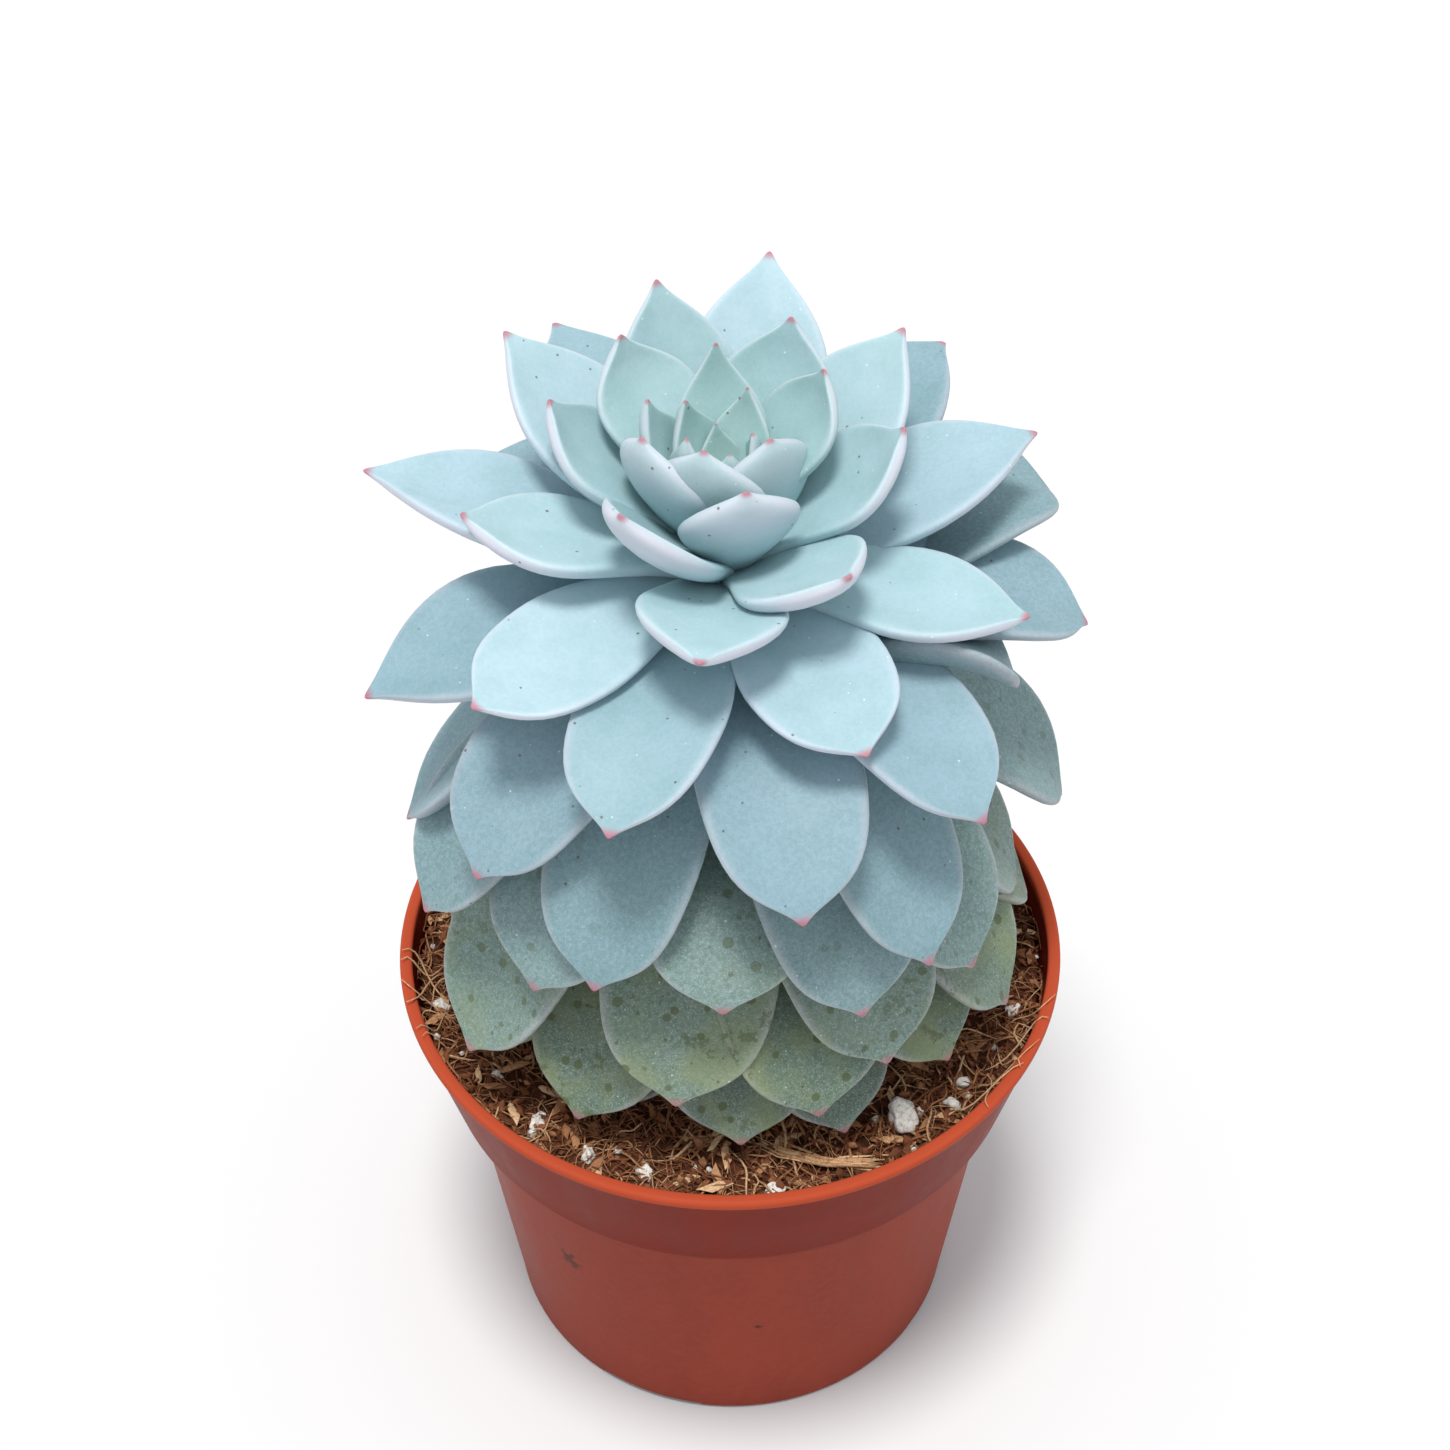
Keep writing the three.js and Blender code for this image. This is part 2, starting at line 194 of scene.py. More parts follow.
def subdivide_smoothly(piece, levels):
    pick(piece)
    smooth = piece.modifiers.new("smooth", "SUBSURF")
    smooth.levels = levels
    smooth.render_levels = levels
    bpy.ops.object.modifier_apply(modifier=smooth.name)


def points_of(mesh):
    points = np.empty(len(mesh.vertices) * 3)
    mesh.vertices.foreach_get("co", points)
    return points.reshape(-1, 3)


def write_facts(mesh, facts):
    """Gives a mesh named values for its finish: one for each point, or one for all of them."""
    for fact, values in facts.items():
        attribute = mesh.attributes.new(fact, "FLOAT", "POINT")
        spread = np.broadcast_to(values, len(mesh.vertices)).astype(np.float32)
        attribute.data.foreach_set("value", spread)


def copy_with(unit, name, points, facts):
    """A copy of a unit shape with its own mesh: new points, and one value of each fact all over it."""
    mesh = unit.data.copy()
    mesh.vertices.foreach_set("co", np.asarray(points, dtype=np.float32).ravel())
    write_facts(mesh, facts)
    copy = bpy.data.objects.new(name, mesh)
    bpy.context.scene.collection.objects.link(copy)
    return copy


def join(name, copies):
    deselect_all()
    for copy in copies:
        copy.select_set(True)
    bpy.context.view_layer.objects.active = copies[0]
    if len(copies) > 1:
        bpy.ops.object.join()
    piece = bpy.context.view_layer.objects.active
    piece.name = name
    piece.data.name = name
    return piece


def finish_piece(piece, material, replaced=(), angle=None):
    pick(piece)
    if angle is None:
        bpy.ops.object.shade_smooth()
    else:
        bpy.ops.object.shade_smooth_by_angle(angle=math.radians(angle))
    piece.data.materials.clear()
    piece.data.materials.append(material)
    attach(piece, "root")
    if replaced:
        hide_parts(*replaced)
    triangles = sum(len(face.vertices) - 2 for face in piece.data.polygons)
    print(piece.name, "has", triangles, "triangles")


def draw(seed):
    """A repeatable draw between 0 and 1 for each number."""
    x = math.sin(seed * 12.9898 + 4.1414) * 43758.5453
    return x - math.floor(x)


def around(azimuth, distance, height=0.0):
    """The point at an azimuth in degrees, which runs from -Y towards +X."""
    angle = math.radians(azimuth)
    return np.array((distance * math.sin(angle), -distance * math.cos(angle), height))


# %% [markdown]
# ## Helpers for materials
# A finish here is a small graph: patterns from Noise and Voronoi nodes pick between colours, and
# the same patterns lift the surface a little. These helpers add one node each and join it up, so
# that a material below reads as a list of what it does.

# %% Material helpers
class Finish:
    """A material under construction, with one short call for each kind of node."""

    def __init__(self, name, roughness, specular=0.5):
        self.material = bpy.data.materials.new(name)
        self.material.use_nodes = True
        self.tree = self.material.node_tree
        self.shader = self.tree.nodes["Principled BSDF"]
        self.shader.inputs["Roughness"].default_value = roughness
        self.shader.inputs["Specular IOR Level"].default_value = specular
        self.place = self.tree.nodes.new("ShaderNodeTexCoord").outputs["Object"]

    def link(self, source, socket):
        if hasattr(source, "links"):
            self.tree.links.new(source, socket)
        else:
            socket.default_value = source

    def fact(self, name):
        node = self.tree.nodes.new("ShaderNodeAttribute")
        node.attribute_name = name
        return node.outputs["Fac"]

    def height(self):
        node = self.tree.nodes.new("ShaderNodeSeparateXYZ")
        self.link(self.place, node.inputs[0])
        return node.outputs["Z"]

    def distance_to(self, point):
        node = self.tree.nodes.new("ShaderNodeVectorMath")
        node.operation = "DISTANCE"
        self.link(self.place, node.inputs[0])
        node.inputs[1].default_value = point
        return node.outputs["Value"]

    def stretched(self, scale):
        node = self.tree.nodes.new("ShaderNodeMapping")
        node.inputs["Scale"].default_value = scale
        self.link(self.place, node.inputs["Vector"])
        return node.outputs["Vector"]

    def noise(self, size, detail=3.0, rough=0.55, place=None):
        """Clouds about size metres across."""
        node = self.tree.nodes.new("ShaderNodeTexNoise")
        node.inputs["Scale"].default_value = 1 / size
        node.inputs["Detail"].default_value = detail
        node.inputs["Roughness"].default_value = rough
        self.link(place or self.place, node.inputs["Vector"])
        return node.outputs["Fac"]

    def cells(self, size, place=None):
        """Distance to the nearest of points about size metres apart, and a colour for each."""
        node = self.tree.nodes.new("ShaderNodeTexVoronoi")
        node.inputs["Scale"].default_value = 1 / size
        self.link(place or self.place, node.inputs["Vector"])
        return node.outputs["Distance"], node.outputs["Color"]

    def math(self, operation, first, second):
        node = self.tree.nodes.new("ShaderNodeMath")
        node.operation = operation
        self.link(first, node.inputs[0])
        self.link(second, node.inputs[1])
        return node.outputs[0]

    def between(self, value, low, high, start=0.0, end=1.0):
        """Runs smoothly from start to end as value goes from low to high."""
        node = self.tree.nodes.new("ShaderNodeMapRange")
        node.interpolation_type = "SMOOTHSTEP"
        node.inputs["From Min"].default_value = low
        node.inputs["From Max"].default_value = high
        node.inputs["To Min"].default_value = start
        node.inputs["To Max"].default_value = end
        self.link(value, node.inputs["Value"])
        return node.outputs["Result"]

    def mix(self, share, first, second, blend="MIX"):
        node = self.tree.nodes.new("ShaderNodeMix")
        node.data_type = "RGBA"
        node.blend_type = blend
        self.link(share, node.inputs["Factor"])
        for value, socket in ((first, node.inputs[6]), (second, node.inputs[7])):
            self.link(value if hasattr(value, "links") else (*value, 1), socket)
        return node.outputs[2]

    def ramp(self, value, *stops):
        node = self.tree.nodes.new("ShaderNodeValToRGB")
        band = node.color_ramp
        while len(band.elements) < len(stops):
            band.elements.new(1.0)
        for element, (position, colour) in zip(band.elements, stops):
            element.position = position
            element.color = (*colour, 1)
        self.link(value, node.inputs["Fac"])
        return node.outputs["Color"]

    def times(self, first, second):
        return self.math("MULTIPLY", first, second)

    def paint(self, colour, roughness=None):
        self.link(colour, self.shader.inputs["Base Color"])
        if roughness is not None:
            self.link(roughness, self.shader.inputs["Roughness"])

    def raise_by(self, height, distance, strength=1.0):
        """Bumps the surface: height 0 to 1 stands for distance metres."""
        node = self.tree.nodes.new("ShaderNodeBump")
        node.inputs["Strength"].default_value = strength
        node.inputs["Distance"].default_value = distance
        self.link(height, node.inputs["Height"])
        self.link(node.outputs["Normal"], self.shader.inputs["Normal"])


# %% [markdown]
# ## Leaf finish
# A leaf is green under a pale blue wax. The wax is thin and mottled on old leaves, where it rubs
# off and shows olive green with brown spots. Margins are paler and turn lilac, the paleness partly
# painted highlight on the lit thick edge, and tips are red.
# Painting each leaf would take days, so the colour follows five facts that every leaf carries:
# how far along it and how near its edge a point is, whether it is on the underside, how old the
# leaf is, and one random number a leaf. Ages run from 0 in the middle to about 1 low down.

# %% Leaf finish
WAX_BY_AGE = (
    (0.0, (0.35, 0.52, 0.50)), (0.22, (0.37, 0.53, 0.57)), (0.3, (0.45, 0.61, 0.66)),
    (0.37, (0.40, 0.55, 0.62)), (0.43, (0.26, 0.39, 0.46)), (0.5, (0.24, 0.36, 0.42)),
    (0.58, (0.22, 0.33, 0.37)), (0.68, (0.23, 0.32, 0.31)), (0.8, (0.18, 0.24, 0.19)),
    (1.0, (0.14, 0.19, 0.16)),
)
GREEN_BELOW_WAX = (0.66, 0.78, 0.74)
GREEN_GRAIN = (0.52, 0.62, 0.52)
OLIVE_RUB = (0.085, 0.11, 0.045)
# Rim colours, partly painted highlight on the lit thick edge as well as rose and lilac tint; the lilac
# also tints the undersides.
LILAC_AND_RIM_HIGHLIGHT = (0.66, 0.62, 0.70)
MARGIN_ROSE_AND_HIGHLIGHT = (0.48, 0.44, 0.47)
TIP_RED = (0.44, 0.12, 0.17)
BROWN_SPOT = (0.10, 0.07, 0.03)
DUST_WHITE = (0.80, 0.86, 0.85)
MOSS_TINGE = (0.22, 0.26, 0.12)

# Sizes of the patterns on a leaf, in millimetres.
CLOUDS = 9
TINGES = 13
RUBS = 6
FINE_GRAIN = 0.8
FROST_GRAIN = 0.28
LEAF_RELIEF = 0.5
GLOW_DEPTH = 2.5

# Ages between which a change of finish comes on.
GROWN_AGES = (0.17, 0.28)
GRAIN_AGES = (0.3, 0.8)
FROST_AGES = (0.35, 0.8)
ROSETTE_ENDS = (0.38, 0.48)
OLD_AGES = (0.45, 0.85)
VERY_OLD_AGES = (0.62, 0.82)

# Shares of a leaf: where lilac comes on towards the tip and the underside, where the margin
# starts, and where the red point is.
LILAC_ALONG = (0.4, 0.85)
LILAC_UNDER = (0.4, 0.8)
MARGIN_ACROSS = (0.8, 1.0)
RED_ALONG = (0.965, 0.995)

# Round marks: distance between them (mm), the range of draws over which they grow, their greatest
# radius as a share of that distance, how strongly they cover, and their colour.
SPECKLES = (
    (3.4, 0.44, 0.76, 0.29, 0.85, OLIVE_RUB),
    (2.6, 0.50, 0.80, 0.12, 0.75, BROWN_SPOT),
    (1.9, 0.50, 0.85, 0.11, 0.55, DUST_WHITE),
)
SPECKLE_EDGE = (-0.05, 0.01)


def waxed(leaf, age, clouds, fine, speckle):
    """The wax: its colour at this age, thinner in clouds, with fine grain and specks of frost."""
    wax = leaf.ramp(age, *WAX_BY_AGE)
    thin = leaf.between(clouds, 0.35, 0.75, 0.0, 0.4)
    wax = leaf.mix(thin, wax, GREEN_BELOW_WAX, "MULTIPLY")
    own = leaf.between(leaf.fact("chance"), 0.0, 1.0, 0.0, 0.35)
    wax = leaf.mix(own, wax, GREEN_BELOW_WAX, "MULTIPLY")
    grain = leaf.times(leaf.between(fine, 0.35, 0.65), leaf.between(age, *GRAIN_AGES, 0.12, 0.75))
    wax = leaf.mix(grain, wax, GREEN_GRAIN, "MULTIPLY")
    frost = leaf.times(leaf.between(speckle, 0.5, 0.72), leaf.between(age, *FROST_AGES, 0.05, 0.3))
    return leaf.mix(frost, wax, DUST_WHITE)


def edged(leaf, colour, age, along):
    """The rim, paler partly as painted highlight, and the lilac flush of the underside, both strongest
    in the rosette.
    """
    rosette = leaf.between(age, *ROSETTE_ENDS, 1.0, 0.15)
    grown = leaf.between(age, *GROWN_AGES, 0.3, 1.0)
    below = leaf.between(leaf.fact("under"), *LILAC_UNDER)
    lilac = leaf.times(leaf.times(below, leaf.between(along, *LILAC_ALONG, 0.1, 0.75)), grown)
    colour = leaf.mix(leaf.times(lilac, rosette), colour, LILAC_AND_RIM_HIGHLIGHT)
    # Partly painted highlight: the rim is made paler as on a lit thick edge, and also tinted rose or
    # lilac.
    rim_tint_and_highlight = leaf.between(leaf.fact("edge"), *MARGIN_ACROSS, 0.0, 0.42)
    rim_tint_and_highlight = leaf.times(rim_tint_and_highlight, leaf.between(along, *LILAC_ALONG, 0.1, 1))
    return leaf.mix(rim_tint_and_highlight, colour, leaf.mix(rosette, MARGIN_ROSE_AND_HIGHLIGHT, LILAC_AND_RIM_HIGHLIGHT))


def speckled(leaf, colour, old):
    """Round marks of three kinds. The olive ones are on old leaves only."""
    for size, low, high, radius, share, stain in SPECKLES:
        distance, tint = leaf.cells(size * MM)
        reach = leaf.between(tint, low, high, 0.0, radius)
        spots = leaf.between(leaf.math("SUBTRACT", distance, reach), *SPECKLE_EDGE, share, 0.0)
        if stain is OLIVE_RUB:
            spots = leaf.times(spots, old)
        colour = leaf.mix(spots, colour, stain)
    return colour


def leaf_finish():
    leaf = Finish("waxy leaf", 0.55, 0.35)
    along = leaf.fact("along")
    age = leaf.fact("age")
    clouds = leaf.noise(CLOUDS * MM, 4)
    fine = leaf.noise(FINE_GRAIN * MM, 3, 0.7)
    speckle = leaf.noise(FROST_GRAIN * MM, 2, 0.7)
    very_old = leaf.between(age, *VERY_OLD_AGES)
    colour = edged(leaf, waxed(leaf, age, clouds, fine, speckle), age, along)

    tinge = leaf.between(leaf.noise(TINGES * MM, 2), 0.42, 0.68, 0.0, 0.6)
    colour = leaf.mix(leaf.times(tinge, very_old), colour, MOSS_TINGE)
    patches = leaf.math("ADD", leaf.noise(RUBS * MM, 5, 0.65), leaf.times(fine, 0.18))
    rubbed = leaf.times(leaf.between(patches, 0.69, 0.74), leaf.times(very_old, 0.7))
    colour = leaf.mix(rubbed, colour, OLIVE_RUB)
    colour = speckled(leaf, colour, leaf.between(age, *OLD_AGES))
    red = leaf.times(leaf.between(along, *RED_ALONG), leaf.between(age, 0.4, 1.0, 0.85, 0.5))
    colour = leaf.mix(red, colour, TIP_RED)

    leaf.paint(colour, leaf.between(rubbed, 0.0, 1.0, 0.56, 0.42))
    relief = leaf.math("ADD", leaf.times(clouds, 0.8), leaf.times(speckle, 0.12))
    leaf.raise_by(relief, LEAF_RELIEF * MM, 0.35)
    leaf.shader.inputs["Subsurface Weight"].default_value = 0.12
    leaf.shader.inputs["Subsurface Radius"].default_value = (0.6, 1.0, 0.7)
    leaf.shader.inputs["Subsurface Scale"].default_value = GLOW_DEPTH * MM
    return leaf.material


leaf_material = leaf_finish()
print("leaf finish has", len(leaf_material.node_tree.nodes), "nodes")

# %% [markdown]
# ## One leaf, modelled once
# A leaf of this plant is a thick spatula that ends in a short soft point. It could be sculpted,
# but 99 of them are needed, so one is grown from a ring: narrow at the stem, widest past the
# middle, drawn in with a slight hollow before the point. Its length is 1 along Z, its half
# width 1 along X. Rosette leaves are plump to the rim, column leaves are thinner there.

# %% One leaf
LEAF_SIDES = 16
LEAF_UPPER = 0.4
LEAF_LOWER = 0.6
BUD_PLUMPNESS = 2.3
ROSETTE_PLUMPNESS = 3.0
COLUMN_PLUMPNESS = 2.8
LEAST = 1e-3
COLUMN_OUTLINE = (
    (0.0, 0.44), (0.12, 0.5), (0.25, 0.63), (0.38, 0.81), (0.5, 0.95), (0.6, 1.0), (0.7, 0.97),
    (0.79, 0.9), (0.86, 0.77), (0.905, 0.6), (0.935, 0.42), (0.957, 0.25), (0.977, 0.11), (1.0, 0.02),
)
ROSETTE_OUTLINE = (
    (0.0, 0.44), (0.12, 0.51), (0.25, 0.64), (0.38, 0.82), (0.5, 0.96), (0.59, 1.0), (0.68, 0.96),
    (0.76, 0.84), (0.83, 0.66), (0.88, 0.48), (0.92, 0.31), (0.95, 0.18), (0.978, 0.085), (1.0, 0.02),
)
BUD_OUTLINE = (
    (0.0, 0.6), (0.14, 0.76), (0.28, 0.92), (0.4, 1.0), (0.52, 0.97), (0.62, 0.84), (0.71, 0.67),
    (0.79, 0.48), (0.86, 0.31), (0.92, 0.18), (0.965, 0.09), (1.0, 0.02),
)
# Share of the leaf's length, and its thickness there as a share of the greatest.
LEAF_FLESH = ((0.0, 0.9), (0.3, 1.0), (0.6, 0.9), (0.8, 0.75), (0.92, 0.55), (0.97, 0.3), (1.0, 0.08))


def along_points(points, x):
    return np.interp(x, [at for at, _ in points], [value for _, value in points])


def model_leaf(name, outline, plumpness):
    """plumpness is the power of the section: 2 is an ellipse, more is fuller at the rim."""
    rings = [(t, half, half) for t, half in outline]
    unit = grow(name, LEAF_SIDES, rings)
    points = points_of(unit.data)
    t = points[:, 2]
    half = along_points(outline, t)
    angle = np.arctan2(points[:, 1], points[:, 0])
    power = 2 / plumpness
    across = np.sign(np.cos(angle)) * np.abs(np.cos(angle)) ** power
    through = np.sign(np.sin(angle)) * np.abs(np.sin(angle)) ** power
    through *= np.where(through > 0, LEAF_UPPER, LEAF_LOWER) * along_points(LEAF_FLESH, t)
    shaped = np.stack([across * half, through, t], axis=1)
    unit.data.vertices.foreach_set("co", shaped.ravel())
    subdivide_smoothly(unit, 1)
    smooth = points_of(unit.data)
    reach = np.maximum(along_points(outline, smooth[:, 2]), LEAST)
    write_facts(unit.data, {
        "along": np.clip(smooth[:, 2], 0, 1),
        "edge": np.clip(np.abs(smooth[:, 0]) / reach, 0, 1),
        "under": np.clip(0.5 - smooth[:, 1] * 2, 0, 1),
    })
    return unit


bud_leaf = model_leaf("bud_leaf", BUD_OUTLINE, BUD_PLUMPNESS)
rosette_leaf = model_leaf("rosette_leaf", ROSETTE_OUTLINE, ROSETTE_PLUMPNESS)
column_leaf = model_leaf("column_leaf", COLUMN_OUTLINE, COLUMN_PLUMPNESS)
print("one leaf has", len(rosette_leaf.data.polygons), "faces")

# %% [markdown]
# ## Ninety-nine leaves on one stem
# Each new leaf starts 137.5 degrees round the stem from the last, the golden angle. Young leaves
# stand up in the middle, grown ones spread, old ones hang down the column. So one table says how
# a leaf changes with age, a second says where this plant departs from the rule, and each copy is
# bent along a curve from its root to its tip.

# %% Where each leaf goes
GOLDEN_ANGLE = 137.508
FIRST_AZIMUTH = -115.8
LEAVES = 99
LEAF_ROOT_RADIUS = 4
LEAF_ROOT_SUNK = 2
SETTLED_FROM = 12
ROLL = 7
CHANNEL = 0.24
HANDLE = 0.38
THINNEST = 1
THICKNESS_SHARE = 0.3

# Leaf number, and how far a leaf there at the very back is lifted (mm) and turned up at its tip
# (degrees), which tips the rosette towards the front.
BACK_LIFT = ((16, 0), (24, 8), (32, 18), (40, 20), (48, 16), (56, 6), (64, 0))
BACK_TURN = ((20, 0), (26, 22), (30, 38), (40, 40), (48, 20), (56, 0))

# Leaf number, how far out and how high its tip is, how high it is rooted (mm), its slope in
# degrees where it leaves the stem and at its tip, and its width (mm).
AGES = np.array((
    (0, 1, 201, 194, 85, 95, 5),
    (6, 5, 207, 192.5, 75, 102, 11),
    (11, 8, 210, 190, 68, 100, 16),
    (16, 12, 210, 187, 62, 94, 19),
    (20, 16, 207, 184, 56, 84, 21),
    (24, 29, 205, 182, 44, 62, 22.5),
    (28, 41, 195, 180, 30, 25, 23.5),
    (33, 52, 184, 177, 18, -5, 24.5),
    (38, 58, 167, 174, 8, -34, 26.5),
    (44, 56, 149, 170, 0, -54, 26.5),
    (50, 54, 134, 165, -6, -60, 28),
    (56, 53, 122, 157, -8, -62, 29),
    (64, 51, 109, 146, -10, -60, 30),
    (74, 51, 99, 131, -10, -56, 30),
    (86, 50, 89.5, 112, -8, -46, 28),
    (90, 48.5, 88.8, 107.4, -7, -40, 27),
    (92, 40, 87, 99, -2, -24, 23),
    (99, 31, 86.4, 92, 2, -10, 19),
))

# Leaf number: how far its tip is turned round the stem (degrees), moved out and moved up (mm),
# and for a few how far the leaf is rolled about its own length (degrees).
DEPARTURES = {
    0: (0, 0, -3), 1: (0, 0, -4), 2: (0, -1, -5), 3: (9, 2, 0), 4: (0, -1, -5), 5: (0, -1, -6),
    6: (18, 3, 2), 7: (4, -2, -3), 8: (7, 2, 0), 9: (2, -3, -3), 10: (4, 1, 0), 11: (15, 7, 2),
    12: (0, -4, -8), 13: (-1, 3, 0), 14: (6, 8, 0), 15: (-2, -1, 0), 16: (16, 14, 0),
    17: (2, -6, -3, -25), 18: (3, 0, 0, 25),
    19: (6, 12, -1), 20: (-4, 0, 0), 21: (16, 10, -4), 22: (-5, 5, -4),
    24: (16, 4, 0), 25: (-12, 0, -4), 26: (10, 7, -9), 29: (15, 3, 0), 30: (-11, 5, -11),
    31: (9, 4, -12), 32: (8, 2, 0), 33: (0, -5, -8), 34: (12, 6, 0), 36: (7, 0, -4),
    37: (13, 4, 0), 38: (-16, 0, -7), 39: (5, 3, -5), 40: (-2, 3, 9), 41: (5, 0, -4),
    43: (0, 3, 3), 44: (0, 0, -5), 46: (-5, 2, -10), 47: (22, 1, -14, 15), 48: (-7, 7, 20),
    49: (-10, 0, -5), 51: (0, -5, 30, -35), 52: (4, 4, -7), 54: (5, 0, -2), 56: (-13, 5, 0),
    57: (-4, 0, 2), 62: (0, 0, 16), 65: (0, 5, -11), 70: (11, 0, 0), 72: (0, 3, -3),
    75: (6, 0, 0), 77: (-5, 3, 3), 78: (10, 0, -5), 80: (5, 0, 0), 83: (11, -2, -2),
}


def plan_leaf(leaf):
    _, reach, tip, root, rise, finish, width = (np.interp(leaf, AGES[:, 0], c) for c in AGES.T)
    turn, out, up, *roll = DEPARTURES.get(leaf, (0, 0, 0))
    loose = 0 if leaf < SETTLED_FROM else ROLL * (2 * draw(leaf + 50) - 1)
    azimuth = FIRST_AZIMUTH - GOLDEN_ANGLE * leaf + turn
    back = (1 - math.cos(math.radians(azimuth))) / 2
    lift = along_points(BACK_LIFT, leaf) * back
    finish += along_points(BACK_TURN, leaf) * back
    return {
        "azimuth": azimuth,
        "root": np.array((min(LEAF_ROOT_RADIUS, 0.6 + leaf / 8), root - LEAF_ROOT_SUNK)),
        "tip": np.array((reach + out, tip + lift + up)),
        "rise": math.radians(rise),
        "finish": math.radians(finish),
        "half": width / 2 * (0.95 + 0.1 * draw(leaf)),
        "roll": math.radians(sum(roll, loose)),
    }


def slope(angle):
    return np.array((math.cos(angle), math.sin(angle)))


def bend_leaf(unit_points, outline, leaf):
    """Bends the unit leaf along its midrib and gives its points in metres."""
    plan = plan_leaf(leaf)
    handle = HANDLE * np.linalg.norm(plan["tip"] - plan["root"])
    p0, p3 = plan["root"], plan["tip"]
    p1 = p0 + slope(plan["rise"]) * handle
    p2 = p3 - slope(plan["finish"]) * handle
    t = np.clip(unit_points[:, 2], 0, 1)[:, None]
    s = 1 - t
    middle = p0 * s**3 + 3 * p1 * s**2 * t + 3 * p2 * s * t**2 + p3 * t**3
    ahead = 3 * (p1 - p0) * s**2 + 6 * (p2 - p1) * s * t + 3 * (p3 - p2) * t**2
    ahead /= np.linalg.norm(ahead, axis=1)[:, None]
    outward = around(plan["azimuth"], 1)
    sideways = around(plan["azimuth"] + 90, 1)
    upward = np.array((0, 0, 1))
    normal = -ahead[:, 1:] * outward + ahead[:, :1] * upward
    side = sideways * math.cos(plan["roll"]) + normal * math.sin(plan["roll"])
    over = normal * math.cos(plan["roll"]) - sideways * math.sin(plan["roll"])
    reach = np.maximum(along_points(outline, t[:, 0]), LEAST)
    half = plan["half"]
    across = unit_points[:, :1]
    share = across / reach[:, None]
    thickness = THINNEST + THICKNESS_SHARE * half
    hollow = CHANNEL * half * reach[:, None] * share**2
    points = middle[:, :1] * outward + middle[:, 1:] * upward
    points = points + side * across * half
    points = points + over * (hollow + thickness * unit_points[:, 1:2])
    return points * MM


# %% Grow the plant
ROSETTE_FROM = 14
COLUMN_FROM = 42
BLUNT_ROSETTE_LEAVES = (31, 33, 36, 38, 41)
OLDEST = 90
STEM_SIDES = 24
STEM_CREASE = 40
STEM_RINGS = ((68.6, 5), (71.6, 7), (150, 7), (172, 6.4), (186, 3.6), (192, 2.2), (193.5, 1))
STEM_FACTS = {"along": 0.0, "edge": 0.0, "under": 0.0, "age": 0.9, "chance": 0.5}


def add_leaves(name, unit, outline, numbers):
    unit_points = points_of(unit.data)
    copies = []
    for leaf in numbers:
        facts = {"age": leaf / OLDEST, "chance": draw(leaf + 300)}
        points = bend_leaf(unit_points, outline, leaf)
        copies.append(copy_with(unit, f"{name}_{leaf}", points, facts))
    piece = join(name, copies)
    finish_piece(piece, leaf_material, ["echeveria"])


def add_stem():
    rings = [(height * MM, radius * MM, radius * MM) for height, radius in STEM_RINGS]
    stem = grow("echeveria_stem", STEM_SIDES, rings)
    write_facts(stem.data, STEM_FACTS)
    finish_piece(stem, leaf_material, ["echeveria"], STEM_CREASE)


add_leaves("echeveria_buds", bud_leaf, BUD_OUTLINE, range(ROSETTE_FROM))
rosette = [leaf for leaf in range(ROSETTE_FROM, COLUMN_FROM) if leaf not in BLUNT_ROSETTE_LEAVES]
column = [*BLUNT_ROSETTE_LEAVES, *range(COLUMN_FROM, LEAVES)]
add_leaves("echeveria_rosette", rosette_leaf, ROSETTE_OUTLINE, rosette)
add_leaves("echeveria_column", column_leaf, COLUMN_OUTLINE, column)
add_stem()
for unit in (bud_leaf, rosette_leaf, column_leaf):
    bpy.data.objects.remove(unit)

# %% [markdown]
# ## Pot finish
# Thin terracotta-coloured plastic: dull, with a soft sheen, faint flow streaks from the mould, a
# mottled film of dust, a few scratches and three brown blemishes where sap or soil has dried. The
# band is darker than the body as painted shade, and the lip is brighter as painted light.

# %% Pot finish
PLASTIC = (0.278, 0.048, 0.028)
PLASTIC_DEEP = (0.240, 0.040, 0.024)
PLASTIC_DUST = (0.285, 0.070, 0.046)
# Painted light: the lip is brighter where it faces up to the lamp.
PLASTIC_LIP_PAINTED_LIGHT = (0.42, 0.066, 0.028)
# Painted shade: this colour multiplies the band above the shoulder.
BAND_PAINTED_SHADE = (0.70, 0.42, 0.34)
# Azimuth (degrees), height and size (mm) of each blemish.
STAINS = ((-39.0, 41.5, 2.5), (-44.0, 59.5, 1.8), (6.0, 33.0, 0.9))
STAIN = (0.085, 0.026, 0.014)
STREAKS = 14
MOTTLE = 1.6
SCRATCHES = 26
POT_RELIEF = 0.25


